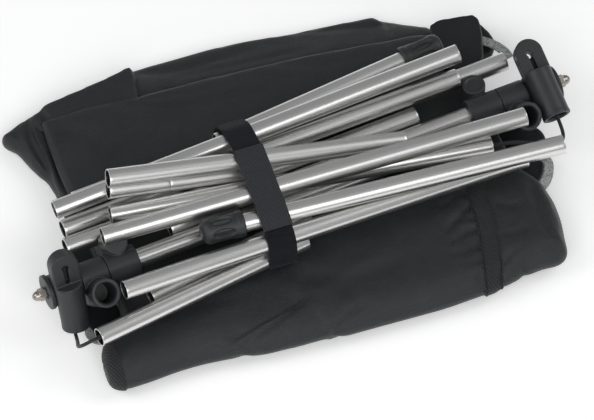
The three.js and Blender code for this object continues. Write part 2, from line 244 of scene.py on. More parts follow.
def woven(name, colour, period, relief, roughness=0.47, gloss=0.44, turn=0.0):
    """Coated plain weave: two crossed sets of threads, with slubs, mottling and a dull gloss."""
    finish = Finish(name, colour, roughness, sheen=0.05)
    finish.shader.inputs["Specular IOR Level"].default_value = gloss
    warp = finish.wave(period, "X", turn=turn)
    weft = finish.wave(period, "Y", turn=turn)
    weave = finish.math("MULTIPLY", warp, weft)
    slubs = finish.noise(1.0, detail=3, scale=(160, 700, 420), turn=turn)
    mottle = finish.noise(34, detail=5, rough=0.62)
    tone = finish.math("ADD", finish.math("MULTIPLY", slubs, 0.45), finish.math("MULTIPLY", mottle, 0.55))
    finish.shade(finish.window(finish.math("ADD", tone, finish.math("MULTIPLY", weave, 0.22)),
                               0.3, 0.85, 0, 1), 0.5, 1.65)
    finish.rough(mottle, roughness - 0.1, roughness + 0.1)
    finish.bump(weave, relief)
    finish.bump(slubs, relief * 0.9, 0.8)
    finish.bump(finish.noise(70, detail=3), 0.0005, 0.5)
    return finish.material


def ribbed_webbing(name, colour, slant):
    """Ribs along the ribbon, turned by slant, over a finer crosswise weave."""
    finish = Finish(name, colour, 0.7, sheen=0.08)
    finish.shader.inputs["Specular IOR Level"].default_value = 0.35
    ribs = finish.wave(2.1 * MM, "Y", attribute="weave", turn=slant)
    cross = finish.wave(1.2 * MM, "X", attribute="weave", distortion=0.6)
    wear = finish.noise(1.0, detail=3, attribute="weave", scale=(300, 300, 300))
    finish.shade(finish.math("MULTIPLY", finish.math("ADD", ribs, finish.math("MULTIPLY", wear, 0.6)),
                             finish.span(cross, 0.6, 1.0)), 0.3, 2.9)
    finish.bump(ribs, 0.0006)
    finish.bump(cross, 0.00014)
    return finish.material


def loop_pile():
    """The fuzzy side of a hook-and-loop strap."""
    finish = Finish("loop_pile", (0.0045, 0.0047, 0.007), 0.95, sheen=0.06)
    finish.shader.inputs["Specular IOR Level"].default_value = 0.22
    fuzz = finish.noise(900, detail=5, rough=0.75)
    finish.shade(finish.window(fuzz, 0.35, 0.65, 0, 1), 0.1, 3.0)
    finish.bump(fuzz, 0.0006)
    finish.bump(finish.noise(420, detail=2), 0.0003, 0.6)
    return finish.material


def spacer_mesh():
    finish = Finish("spacer_mesh", (0.27, 0.28, 0.278), 0.85, sheen=0.1)
    cells = finish.node("ShaderNodeTexVoronoi", Scale=620.0)
    finish.link(finish.coordinates(), cells.inputs["Vector"])
    holes = finish.window(cells.outputs["Distance"], 0.1, 0.55, 1, 0)
    finish.shade(holes, 1.25, 0.3)
    finish.bump(holes, -0.0003)
    return finish.material


def braided_cord():
    finish = Finish("braided_cord", (0.014, 0.014, 0.016), 0.7, sheen=0.2)
    left = finish.wave(1.1 * MM, "DIAGONAL", attribute="weave")
    right = finish.wave(1.1 * MM, "DIAGONAL", attribute="weave", scale=(-1, 1, 1))
    braid = finish.math("MULTIPLY", left, right)
    finish.shade(braid, 0.6, 1.9)
    finish.bump(braid, 0.0003)
    return finish.material


def stitching():
    finish = Finish("stitching_thread", (0.0035, 0.0035, 0.004), 0.6, sheen=0.1)
    finish.shade(finish.noise(2200), 0.6, 1.7)
    finish.bump(finish.wave(0.4 * MM, "DIAGONAL"), 0.00006)
    return finish.material


ALUMINIUM = aluminium()
STEEL = plated_steel()
NYLON = moulded_nylon()
RUBBER = moulded_rubber()
POLYESTER = woven("polyester", (0.0112, 0.0146, 0.0158), 1.3 * MM, 0.00028)
POCKET_CLOTH = woven("pocket_cloth", (0.0085, 0.0108, 0.0122), 1.0 * MM, 0.00022, roughness=0.55, gloss=0.3)
WEBBING = ribbed_webbing("ribbed_webbing", (0.0125, 0.013, 0.0158), 0.16)
BAND_WEBBING = ribbed_webbing("band_webbing", (0.0082, 0.0088, 0.0102), 0.5)
PILE = loop_pile()
MESH = spacer_mesh()
CORD = braided_cord()
THREAD = stitching()


# ---- mesh helpers ---------------------------------------------------------------------------
def piece(name, points, faces, material, slot):
    mesh = bpy.data.meshes.new(name)
    mesh.from_pydata([tuple(p) for p in points], [], faces)
    mesh.validate()
    made = bpy.data.objects.new(name, mesh)
    bpy.context.scene.collection.objects.link(made)
    dress(made, material, slot)
    return made


def dress(made, material, slot):
    made.data.materials.clear()
    made.data.materials.append(material)
    made.data.polygons.foreach_set("use_smooth", [True] * len(made.data.polygons))


def settle(made):
    """Applies every modifier."""
    graph = bpy.context.evaluated_depsgraph_get()
    mesh = bpy.data.meshes.new_from_object(made.evaluated_get(graph))
    made.modifiers.clear()
    made.data = mesh


def vectors(made, name, values):
    """Stores a vector at each point, for the materials to read."""
    made.data.attributes.new(name, "FLOAT_VECTOR", "POINT")
    made.data.attributes[name].data.foreach_set("vector", np.array(values, np.float32).ravel())


def smoothstep(x, low, high):
    t = np.clip((x - low) / (high - low), 0, 1)
    return t * t * (3 - 2 * t)


def basis(axis):
    """Rows: the unit axis and two unit vectors across it."""
    x = np.array(axis, float) / np.linalg.norm(axis)
    up = np.array([0.0, 0, 1]) if abs(x[2]) < 0.9 else np.array([0.0, 1, 0])
    y = np.cross(up, x)
    y /= np.linalg.norm(y)
    return np.array([x, y, np.cross(x, y)])


def lathe(name, origin, axis, profile, material, slot, sides=64, radius=None, closed=True):
    """Turns (x, radius) points about an axis. radius(x, r, angle) may shape each ring. A closed
    profile ends where it starts; an open one starts and ends on the axis."""
    frame_rows = basis(axis)
    angles = np.arange(sides) * 2 * math.pi / sides
    local = []
    for x, r in profile:
        rings = np.full(sides, r) if radius is None else radius(x, r, angles)
        ring = np.stack([np.full(sides, x), rings * np.cos(angles), rings * np.sin(angles)], 1)
        local.append(ring)
    rings = len(profile)
    local = np.concatenate(local)
    faces = []
    for i in range(rings if closed else rings - 1):
        for k in range(sides):
            a, b = i * sides + k, i * sides + (k + 1) % sides
            c, d = ((i + 1) % rings) * sides + (k + 1) % sides, ((i + 1) % rings) * sides + k
            faces.append((a, b, c, d))
    made = piece(name, local @ frame_rows + np.array(origin), faces, material, slot)
    vectors(made, "grain", local)
    vectors(made, "weave", local)
    tidy_mesh(made)
    return made


def tidy_mesh(made, sharp=None):
    """Merges doubled points, points the faces outwards and, if asked, keeps edges past an angle sharp."""
    mesh = bmesh.new()
    mesh.from_mesh(made.data)
    bmesh.ops.remove_doubles(mesh, verts=mesh.verts, dist=1e-7)
    bmesh.ops.recalc_face_normals(mesh, faces=mesh.faces)
    mesh.to_mesh(made.data)
    mesh.free()
    if sharp:
        made.data.set_sharp_from_angle(angle=math.radians(sharp))


def rounded(profile, size, steps=4, closed=True):
    """Rounds a profile's corners with arcs that start size before each corner."""
    points = [np.array(p, float) for p in profile]
    out, n = [], len(points)
    for i, p in enumerate(points):
        if not closed and i in (0, n - 1):
            out.append(p)
            continue
        before, after = points[i - 1] - p, points[(i + 1) % n] - p
        reach = min(size, 0.45 * np.linalg.norm(before), 0.45 * np.linalg.norm(after))
        a = p + before / np.linalg.norm(before) * reach
        b = p + after / np.linalg.norm(after) * reach
        for t in np.linspace(0, 1, steps):
            out.append(a * (1 - t) ** 2 + p * 2 * t * (1 - t) + b * t ** 2)
    return out


def catmull(points, per_span, loop=False):
    """A centripetal Catmull-Rom curve through the points."""
    p = np.array(points, float)
    if loop:
        p = np.concatenate([p[-1:], p, p[:2]])
    else:
        p = np.concatenate([2 * p[:1] - p[1:2], p, 2 * p[-1:] - p[-2:-1]])
    out = []
    for i in range(len(p) - 3):
        p0, p1, p2, p3 = p[i:i + 4]
        knots = np.cumsum([0] + [max(1e-9, np.linalg.norm(b - a)) ** 0.5
                                 for a, b in ((p0, p1), (p1, p2), (p2, p3))])
        t0, t1, t2, t3 = knots
        for t in np.linspace(t1, t2, per_span, endpoint=False):
            a1 = (t1 - t) / (t1 - t0) * p0 + (t - t0) / (t1 - t0) * p1
            a2 = (t2 - t) / (t2 - t1) * p1 + (t - t1) / (t2 - t1) * p2
            a3 = (t3 - t) / (t3 - t2) * p2 + (t - t2) / (t3 - t2) * p3
            b1 = (t2 - t) / (t2 - t0) * a1 + (t - t0) / (t2 - t0) * a2
            b2 = (t3 - t) / (t3 - t1) * a2 + (t - t1) / (t3 - t1) * a3
            out.append((t2 - t) / (t2 - t1) * b1 + (t - t1) / (t2 - t1) * b2)
    if not loop:
        out.append(p[-2])
    return np.array(out)


def swept(name, path, section, material, slot, ups=None, loop=False):
    """Sweeps a closed (across, up) section along a path. ups are the up directions at each point.
    The weave attribute is (along, across, up)."""
    path = np.array(path, float)
    n, m = len(path), len(section)
    tangents = np.roll(path, -1, 0) - np.roll(path, 1, 0) if loop else np.gradient(path, axis=0)
    tangents /= np.linalg.norm(tangents, axis=1)[:, None]
    if ups is None:
        up = basis(tangents[0])[2]
        ups = []
        for t in tangents:
            up = up - t * (up @ t)
            up /= np.linalg.norm(up)
            ups.append(up)
    ups = np.array(ups, float)
    ups -= tangents * (ups * tangents).sum(1)[:, None]
    ups /= np.linalg.norm(ups, axis=1)[:, None]
    across = np.cross(tangents, ups)
    steps = np.linalg.norm(np.diff(path, axis=0), axis=1)
    along = np.concatenate([[0], np.cumsum(steps)])
    points, weave = [], []
    for i in range(n):
        for a, u in section:
            points.append(path[i] + across[i] * a + ups[i] * u)
            weave.append((along[i], a, u))
    faces = []
    for i in range(n if loop else n - 1):
        for k in range(m):
            j = (i + 1) % n
            faces.append((i * m + k, i * m + (k + 1) % m, j * m + (k + 1) % m, j * m + k))
    if not loop:
        faces.append(tuple(range(m)))
        faces.append(tuple((n - 1) * m + k for k in reversed(range(m))))
    made = piece(name, points, faces, material, slot)
    vectors(made, "weave", weave)
    tidy_mesh(made)
    return made


def round_section(radius, sides=12):
    angles = np.arange(sides) * 2 * math.pi / sides
    return [(radius * math.cos(a), radius * math.sin(a)) for a in angles]


def flat_section(width, thickness, columns=10):
    """A ribbon's section with rounded edges."""
    half, r = width / 2, thickness / 2
    top = [(x, r) for x in np.linspace(half - r, -half + r, columns)]
    left = [(-half + r - r * math.sin(a), r * math.cos(a)) for a in np.linspace(0.4, math.pi - 0.4, 4)]
    bottom = [(x, -r) for x in np.linspace(-half + r, half - r, columns)]
    right = [(half - r + r * math.sin(a), -r * math.cos(a)) for a in np.linspace(0.4, math.pi - 0.4, 4)]
    return top + left + bottom + right


# ---- shock cords ----------------------------------------------------------------------------
CORD_R = 1.6 * MM
CORDS = {
    "left": {
        "route": [(-204, -18, 30), (-204.2, -20.8, 23.5), (-204.8, -27, 18), (-206, -35.5, 19.5),
                  (-208.3, -43.5, 27), (-210.5, -51, 36), (-211.3, -57.3, 44.3), (-208.3, -61.3, 51),
                  (-202, -61.3, 53.2), (-196, -60.2, 52.9), (-188, -58.6, 52.6)],
        "length": 0.088,
        "follows_until": 1, "free_from": 7,
    },
    "right": {
        "route": [(239.2, 30, 51.1), (239.8, 22.4, 48.3), (240.2, 14.5, 45.2), (239.2, 6.5, 42.4),
                  (234, 0, 42.5), (225, -2.6, 48), (210, 0, 54.5), (194, 4, 58), (182, 5.9, 58.9),
                  (168, 7.3, 59.3)],
        "length": 0.108,
        "follows_until": 1, "free_from": 5,
    },
}


def make_cords():
    for side, facts in CORDS.items():
        points = from_layout(facts["route"])
        path = catmull(points, 8)
        name = f"shock_cord_{side}_braided"
        tube = swept(name, path, round_section(CORD_R), CORD, "shock_cord")
        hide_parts(f"shock_cord_{side}")
        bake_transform(tube)


make_cords()


# ---- poles ----------------------------------------------------------------------------------
POLE_R = 8 * MM
BORE_R = 6.9 * MM
LIP = 0.35 * MM


def centre_line(node):
    """The two ends of a straight round node's middle line, the end with the lower x first."""
    co = np.array([v.co for v in frame["nodes"][node].data.vertices], float)
    middle = (co.min(0) + co.max(0)) / 2
    spread = co - co.mean(0)
    axis = np.linalg.svd(spread, full_matrices=False)[2][0]
    axis *= np.sign(axis[0])
    along = (co - middle) @ axis
    across = co - np.outer((co - middle) @ axis, axis)
    core = across.mean(0)
    return core + axis * along.min(), core + axis * along.max()


def tube(name, node, outer, inner, material=ALUMINIUM, slot="aluminium"):
    start, end = centre_line(node)
    length = np.linalg.norm(end - start)
    lips = rounded([(0, outer), (length, outer), (length, inner), (0, inner)], LIP)
    profile = []
    for i, p in enumerate(lips):
        profile.append(p)
        q = lips[(i + 1) % len(lips)]
        if np.linalg.norm(q - p) > 10 * MM:  # rings near the lips keep the long faces' shading straight
            step = (q - p) / np.linalg.norm(q - p) * 2 * MM
            profile += [p + step, q - step]
    return lathe(name, start, end - start, profile, material, slot)


BUNDLE_POLES = [
    "back_pole_low", "back_pole_rear", "under_pole", "back_pole_middle", "foot_pole_back",
    "back_pole_top", "cross_pole_upper", "joint_pole_long", "cross_pole_lower", "top_pole",
    "foot_pole_front", "front_pole_upper", "front_pole_inner", "front_pole_lower",
    "crossbar_left", "crossbar_right",
]


def make_poles():
    for node in BUNDLE_POLES + ["joint_pole_short"]:
        made = tube(f"{node}_tube", node, POLE_R, BORE_R)
        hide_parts(node)
        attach(made, node if node == "joint_pole_short" else BUNDLE)
    ferrule = tube("joint_ferrule_tube", "joint_ferrule", 6.6 * MM, 5.4 * MM)
    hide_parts("joint_ferrule")
    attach(ferrule, BUNDLE)
    start, end = centre_line("shock_cord_core")
    core_path = [start + (end - start) * t for t in np.linspace(0, 1, 30)]
    core = swept("shock_cord_core_braided", core_path, round_section(CORD_R), CORD, "shock_cord")
    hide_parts("shock_cord_core")
    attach(core, BUNDLE)


make_poles()


# ---- hubs -----------------------------------------------------------------------------------
HUB_R = 13.5 * MM
BOLT_BORE_R = 3.3 * MM
SWIVEL_W = 24 * MM
SOCKET_R = 12 * MM
SOCKET_BORE_R = 8.5 * MM
SOCKET_OFFSET = 15 * MM
SOCKET_END = 31 * MM
SOCKET_BACK = 12 * MM
SOCKET_FLOOR = 1 * MM
EAR_END = 41 * MM
EAR_T = 12 * MM
EAR_OFFSET = 11.5 * MM
KEYHOLE_R = 2.75 * MM
KEYSLOT_W = 3.6 * MM
KEYSLOT_LENGTH = 15 * MM
TIP_TO_OUTER = 28.1 * MM         # dome nut's tip to the outer swivel's middle, along the hub axis
BODY_START = 66 * MM
BODY_LENGTH = 28 * MM
VOXEL = 0.55 * MM
# Each swivel's turn about the hub axis, and the side that its socket is offset to.
SWIVELS = {
    "outer_swivel_left": (248, -1), "inner_swivel_left": (128, 1),
    "outer_swivel_right": (-20, 1), "inner_swivel_right": (52, -1),
}
BODY_TURNS = {"left": 220, "right": 0}   # each hub body's turn about the hub axis


def hub_place(side):
    """A hub's frame: origin at its dome nut's tip, +X along its axis inwards."""
    joint = JOINTS[f"outer_swivel_{side}_turn"]
    inwards = Vector(joint["axis"]) * (-1 if side == "left" else 1)
    yaw = Matrix.Rotation(math.atan2(inwards.y, inwards.x), 4, "Z")
    tip = Vector(joint["pos_m"]) - inwards * TIP_TO_OUTER
    return Matrix.Translation(tip) @ yaw


def solid_round(start, end, radius, sides=96, far_radius=None):
    """A closed cylinder or cone between two points, as a mesh object."""
    start, end = Vector(start), Vector(end)
    mesh = bmesh.new()
    bmesh.ops.create_cone(mesh, cap_ends=True, segments=sides, radius1=radius,
                          radius2=radius if far_radius is None else far_radius,
                          depth=(end - start).length)
    turn = (end - start).to_track_quat("Z", "Y").to_matrix().to_4x4()
    mesh.transform(Matrix.Translation((start + end) / 2) @ turn)
    return loose_object(mesh)


def solid_block(low, high):
    mesh = bmesh.new()
    bmesh.ops.create_cube(mesh, size=1)
    low, high = Vector(low), Vector(high)
    mesh.transform(Matrix.Translation((low + high) / 2) @ Matrix.Diagonal((*(high - low), 1)))
    return loose_object(mesh)


def loose_object(mesh):
    data = bpy.data.meshes.new("working_solid")
    mesh.to_mesh(data)
    mesh.free()
    made = bpy.data.objects.new("working_solid", data)
    bpy.context.scene.collection.objects.link(made)
    return made


def combined(base, others, operation):
    for other in others:
        change = base.modifiers.new("join", "BOOLEAN")
        change.operation = operation
        change.solver = "EXACT"
        change.object = other
        settle(base)
        bpy.data.objects.remove(other)
    return base


def moulded(name, solids, cuts, material, slot, place, voxel=VOXEL, passes=5):
    """Joins solids, takes cuts out of them, and rounds every edge as moulding does."""
    body = combined(solids[0], solids[1:], "UNION")
    combined(body, cuts, "DIFFERENCE")
    remesh = body.modifiers.new("remesh", "REMESH")
    remesh.mode = "VOXEL"
    remesh.voxel_size = voxel
    soften = body.modifiers.new("soften", "SMOOTH")
    soften.factor = 0.6
    soften.iterations = passes
    settle(body)
    body.data.transform(place)
    body.name = name
    body.data.name = name
    dress(body, material, slot)
    return body


def swivel(node):
    side = node.rsplit("_", 1)[1]
    turn, flip = SWIVELS[node]
    half = SWIVEL_W / 2
    z = flip * SOCKET_OFFSET
    ear_z = flip * EAR_OFFSET
    face = ear_z + flip * EAR_T / 2
    base = -(EAR_END - half)
    hole_y = base + 1 * MM
    solids = [
        solid_round((-half, 0, 0), (half, 0, 0), HUB_R),
        solid_round((0, -SOCKET_BACK, z), (0, SOCKET_END, z), SOCKET_R),
        solid_round((0, base, ear_z - EAR_T / 2), (0, base, ear_z + EAR_T / 2), half),
        solid_block((-half, base, ear_z - EAR_T / 2), (half, 0, ear_z + EAR_T / 2)),
        # a thicker rim at the socket's mouth, flush with its widest part
        solid_round((0, SOCKET_END - 3.2 * MM, z), (0, SOCKET_END, z), SOCKET_R + 0.25 * MM),
    ]
    slot_ends = [(0, hole_y, face), (0, hole_y + KEYSLOT_LENGTH, face)]
    cuts = [
        solid_round((0, SOCKET_FLOOR, z), (0, SOCKET_END + 1 * MM, z), SOCKET_BORE_R),
        solid_round((0, SOCKET_END - 1.6 * MM, z), (0, SOCKET_END + 0.2 * MM, z), SOCKET_BORE_R,
                    far_radius=SOCKET_BORE_R + 1.4 * MM),
        solid_round((-half - 1 * MM, 0, 0), (half + 1 * MM, 0, 0), BOLT_BORE_R),
        solid_round((0, hole_y, ear_z - EAR_T), (0, hole_y, ear_z + EAR_T), KEYHOLE_R),
        solid_block((-KEYSLOT_W / 2, slot_ends[0][1], min(face - flip * 6 * MM, face + flip * 3 * MM)),
                    (KEYSLOT_W / 2, slot_ends[1][1], max(face - flip * 6 * MM, face + flip * 3 * MM))),
    ]
    place = hub_place(side) @ Matrix.Translation((hub_distance(node), 0, 0))
    place = place @ Matrix.Rotation(math.radians(turn), 4, "X")
    made = moulded(f"{node}_moulding", solids, cuts, NYLON, "nylon", place)
    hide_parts(node)
    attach(made, node)


def hub_distance(node):
    """A swivel's middle, along the hub axis from the dome nut's tip."""
    side = node.rsplit("_", 1)[1]
    joint = JOINTS[f"{node}_turn"]
    outer = JOINTS[f"outer_swivel_{side}_turn"]
    return TIP_TO_OUTER + (Vector(joint["pos_m"]) - Vector(outer["pos_m"])).length


def hub_body(side):
    place = hub_place(side) @ Matrix.Rotation(math.radians(BODY_TURNS[side]), 4, "X")
    lug_x, lug_y = BODY_START + BODY_LENGTH / 2, -20 * MM
    lug_half = 11 * MM
    solids = [
        solid_round((BODY_START, 0, 0), (BODY_START + BODY_LENGTH, 0, 0), HUB_R),
        solid_round((lug_x, lug_y, 1 * MM - lug_half), (lug_x, lug_y, 1 * MM + lug_half), 10 * MM),
        solid_block((lug_x - 6 * MM, lug_y, -5 * MM), (lug_x + 6 * MM, 0, 5 * MM)),
    ]
    cuts = [
        solid_round((BODY_START + 6 * MM, 0, 0), (BODY_START + BODY_LENGTH + 1 * MM, 0, 0), 8.3 * MM),
        solid_round((BODY_START - 1 * MM, 0, 0), (BODY_START + 11 * MM, 0, 0), BOLT_BORE_R),
        # a shallow dish in the lug's top
        solid_round((lug_x, lug_y, 1 * MM + lug_half - 1 * MM), (lug_x, lug_y, 1 * MM + lug_half + 1 * MM),
                    6.6 * MM, far_radius=7.6 * MM),
    ]
    made = moulded(f"hub_body_{side}_moulding", solids, cuts, NYLON, "nylon", place)
    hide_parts(f"hub_body_{side}")
    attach(made, BUNDLE)


def hexagon_radius(corner, angles):
    """Distance from the middle to a hexagon's edge."""
    flat = corner * math.cos(math.pi / 6)
    within = (angles + math.pi / 6) % (math.pi / 3) - math.pi / 6
    return flat / np.cos(within)


def dome_nut(side):
    dome_r, corner, length, start = 4.4 * MM, 5.5 * MM, 12 * MM, 5.5 * MM

    def shape(x, r, angles):
        hexed = np.minimum(hexagon_radius(corner, angles), r)
        return np.full_like(angles, r) if x < start or r < dome_r else hexed

    dome = [(start * (1 - math.sin(a)), dome_r * math.cos(a)) for a in np.linspace(math.pi / 2, 0, 12)]
    profile = dome + [(start, dome_r + 0.15 * MM), (start + 0.6 * MM, corner), (start + 1.3 * MM, 9 * MM),
                      (length - 1 * MM, 9 * MM), (length - 0.3 * MM, corner), (length, corner - 0.7 * MM),
                      (length, 3.3 * MM), (5 * MM, 3.3 * MM), (5 * MM, 0)]
    place = hub_place(side)
    made = lathe(f"dome_nut_{side}_turned", place.translation, place.col[0][:3], profile, STEEL, "steel",
                 sides=72, radius=shape, closed=False)
    made.data.set_sharp_from_angle(angle=math.radians(28))
    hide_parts(f"dome_nut_{side}")
    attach(made, BUNDLE)


def washer(name, node, side, x, thickness, outer, inner, material, slot):
    place = hub_place(side)
    corners = [(x, inner), (x, outer), (x + thickness, outer), (x + thickness, inner)]
    made = lathe(name, place.translation, place.col[0][:3], rounded(corners, 0.6 * MM), material, slot, 72)
    made.data.set_sharp_from_angle(angle=math.radians(35))
    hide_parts(node)
    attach(made, BUNDLE)


def axle_bolt(side):
    place = hub_place(side)
    head, corner = 72.3 * MM, 5.5 * MM
    profile = [(5.3 * MM, 0), (5.3 * MM, 2.6 * MM), (5.8 * MM, 3 * MM), (head, 3 * MM),
               (head, corner - 0.3 * MM), (head + 0.3 * MM, corner), (head + 3.4 * MM, corner),
               (head + 4 * MM, corner - 0.6 * MM), (head + 4 * MM, 0)]
    made = lathe(f"axle_bolt_{side}_turned", place.translation, place.col[0][:3], profile, STEEL, "steel",
                 48, closed=False)
    made.data.set_sharp_from_angle(angle=math.radians(35))
    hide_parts(f"axle_bolt_{side}")
    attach(made, BUNDLE)


def make_hubs():
    for side in ("left", "right"):
        dome_nut(side)
        axle_bolt(side)
        hub_body(side)
        washer(f"cap_washer_{side}_moulding", f"cap_washer_{side}", side, 12.3 * MM, 3.5 * MM, 15 * MM,
               3.3 * MM, NYLON, "nylon")
        washer(f"swivel_washer_{side}_moulding", f"swivel_washer_{side}", side, 40.4 * MM, 1 * MM, 11 * MM,
               3.3 * MM, NYLON, "nylon")
    for node in SWIVELS:
        swivel(node)


make_hubs()


# ---- rubber feet ----------------------------------------------------------------------------
FOOT_R = 11.5 * MM
FOOT_LENGTH = 37 * MM
FOOT_BORE = 22 * MM


def make_foot(end):
    """A foot pushed over a pole's end: finger recesses round its waist and ribs by its mouth."""
    node = f"rubber_foot_{end}"
    low, high = (Vector(c) for c in centre_line(f"foot_pole_{end}"))
    middle = (Vector(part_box(node)[0]) + Vector(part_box(node)[1])) / 2
    far, near = (high, low) if (middle - high).length < (middle - low).length else (low, high)
    axis = (far - near).normalized()
    mouth = far - axis * (FOOT_BORE - 0.3 * MM)

    def shape(x, r, angles):
        if r < FOOT_R - 1.5 * MM:
            return np.full_like(angles, r)
        # six oval hollows round the waist, each with a rib down its middle, and a collar at the mouth
        turn = (angles * 6 / (2 * math.pi)) % 1 - 0.5
        inside = np.clip(1.15 - (turn / 0.36) ** 2 - ((x - 19 * MM) / (9.5 * MM)) ** 2, 0, 1)
        hollow = smoothstep(inside, 0.05, 0.4) * 2.0 * MM
        rib = np.exp(-(turn / 0.07) ** 2) * smoothstep(inside, 0.3, 0.7) * 1.5 * MM
        collar = 0.45 * MM * smoothstep(x, 5.2 * MM, 6.2 * MM)
        return r - hollow + rib - collar

    dome = [(30 * MM + 7 * MM * math.sin(a), 4 * MM + 7.5 * MM * math.cos(a))
            for a in np.linspace(0, math.pi / 2, 12)]
    outside = [(x, FOOT_R) for x in np.linspace(1.2 * MM, 29.5 * MM, 72)]
    profile = [(FOOT_BORE, 0), (FOOT_BORE, 8.3 * MM), (0, 8.3 * MM), (0, 9.9 * MM), (0.3 * MM, 10.7 * MM)]
    profile += outside + dome + [(FOOT_LENGTH, 0)]
    made = lathe(f"{node}_moulding", mouth, axis, profile, RUBBER, "rubber", 144, radius=shape, closed=False)
    made.data.set_sharp_from_angle(angle=math.radians(50))
    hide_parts(node)
    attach(made, BUNDLE)


make_foot("back")
make_foot("front")


# ---- strap ----------------------------------------------------------------------------------
STRAP_W = 25 * MM
BAND_T = 1.5 * MM
TAB_T = 1.5 * MM


def convex(points):
    """Convex outline of (y, z) points, counter-clockwise."""
    pts = sorted(map(tuple, points))

    def chain(seq):
        hull = []
        for p in seq:
            while len(hull) > 1:
                (ax, ay), (bx, by) = hull[-2:]
                if (bx - ax) * (p[1] - ay) - (by - ay) * (p[0] - ax) <= 1e-12:
                    hull.pop()
                else:
                    break
            hull.append(p)
        return hull[:-1]

    return np.array(chain(pts) + chain(reversed(pts)))


def evenly(points, step, loop=True):
    """The same line with points about step apart."""
    line = np.concatenate([points, points[:1]]) if loop else np.array(points)
    lengths = np.concatenate([[0], np.cumsum(np.linalg.norm(np.diff(line, axis=0), axis=1))])
    count = max(3, round(lengths[-1] / step))
    at = np.linspace(0, lengths[-1], count, endpoint=not loop)
    return np.stack([np.interp(at, lengths, line[:, k]) for k in range(line.shape[1])], 1)


def softened(points, passes, loop=True):
    p = np.array(points, float)
    for _ in range(passes):
        q = (np.roll(p, 1, 0) + 2 * p + np.roll(p, -1, 0)) / 4
        if not loop:
            q[0], q[-1] = p[0], p[-1]
        p = q
    return p


def strap_path(inset):
    """The strap's middle line round the bundle, inset from the band's outer face, with its outward
    directions. It starts at the bottom and goes up the front."""
    node = frame["nodes"]["strap_band"]
    outline = convex([(v.co.y, v.co.z) for v in node.data.vertices])
    ring = softened(evenly(outline, 2 * MM), 6)
    after, before = np.roll(ring, -1, 0), np.roll(ring, 1, 0)
    tangent = after - before
    tangent /= np.linalg.norm(tangent, axis=1)[:, None]
    outwards = np.stack([tangent[:, 1], -tangent[:, 0]], 1)
    return ring - outwards * inset, outwards


def make_strap():
    x = (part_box("strap_band")[0].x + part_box("strap_band")[1].x) / 2
    ring, outwards = strap_path(BAND_T / 2 + 0.1 * MM)
    path = np.column_stack([np.full(len(ring), x), ring])
    ups = np.column_stack([np.zeros(len(ring)), outwards])
    band = swept("strap_band_pile", path, flat_section(STRAP_W - 0.8 * MM, BAND_T), PILE, "webbing", ups,
                 loop=True)
    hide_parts("strap_band")
    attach(band, BUNDLE)

    low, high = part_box("strap_tab")
    ring, outwards = strap_path(-(TAB_T / 2 + 0.35 * MM))
    upper = [i for i in range(len(ring)) if ring[i, 1] > 0.072 and low.y < ring[i, 0] < high.y]
    order = sorted(upper, key=lambda i: ring[i, 0])
    line = softened(ring[order], 2, loop=False)
    ups = np.column_stack([np.zeros(len(order)), outwards[order]])
    path = np.column_stack([np.full(len(line), x), line])
    tab = swept("strap_tab_webbing", path, flat_section(STRAP_W + 0.2 * MM, TAB_T), WEBBING, "webbing", ups)
    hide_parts("strap_tab")
    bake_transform(tab)
    return path


make_strap()


# ---- folded cloth ---------------------------------------------------------------------------
GRID = 4 * MM
NOSE_REACH = 27 * MM             # how far in from the front edge the cloth's big roll is curved
TOP_Z = 31 * MM
UNDER_Z = 20 * MM                # the top layer lies on the lower ones at this height, at the back


def arr(points):
    return np.array(points, float) * MM


class Outline:
    """A closed, softened line in plan, with distances and outward directions."""

    def __init__(self, corners, passes=2):
        ring = evenly(arr(corners), 2.5 * MM)
        following = np.roll(ring, -1, 0)
        area = (ring[:, 0] * following[:, 1] - following[:, 0] * ring[:, 1]).sum()
        if area < 0:
            ring = ring[::-1]
        self.ring = softened(ring, passes)

    def nearest(self, xy):
        """Distance to the line, the nearest point on it, and the direction out there."""
        a, b = self.ring, np.roll(self.ring, -1, 0)
        edge = b - a
        size = (edge ** 2).sum(1)
        out = np.stack([edge[:, 1], -edge[:, 0]], 1) / np.sqrt(size)[:, None]
        smooth = softened(out, 4)
        smooth /= np.linalg.norm(smooth, axis=1)[:, None]
        distance, foot, outward = [], [], []
        for block in np.array_split(xy, max(1, len(xy) // 2000)):
            along = np.clip(((block[:, None] - a) * edge).sum(2) / size, 0, 1)
            on = a + edge * along[..., None]
            gap = np.linalg.norm(block[:, None] - on, axis=2)
            best = gap.argmin(1)
            rows = np.arange(len(block))
            distance.append(gap[rows, best])
            foot.append(on[rows, best])
            outward.append(smooth[best])
        return np.concatenate(distance), np.concatenate(foot), np.concatenate(outward)


def prism(name, ring, low, high):
    n = len(ring)
    points = [(x, y, low) for x, y in ring] + [(x, y, high) for x, y in ring]
    faces = [tuple(reversed(range(n))), tuple(range(n, 2 * n))]
    faces += [(k, (k + 1) % n, n + (k + 1) % n, n + k) for k in range(n)]
    return piece(name, points, faces, POLYESTER, "polyester")


def coordinates_of(made):
    flat = np.empty(len(made.data.vertices) * 3)
    made.data.vertices.foreach_get("co", flat)
    return flat.reshape(-1, 3)


def put(made, co):
    made.data.vertices.foreach_set("co", np.ascontiguousarray(co).ravel())
    made.data.update()


def normals_of(made):
    flat = np.empty(len(made.data.vertices) * 3)
    made.data.vertices.foreach_get("normal", flat)
    return flat.reshape(-1, 3)


def lumps(co, size, seed):
    """Smooth noise from -1 to 1 over places, with features about size across."""
    shift = Vector((seed * 17.3, seed * 5.1, seed * 9.7))
    return np.array([noise.noise(Vector(p) / size + shift) for p in co])


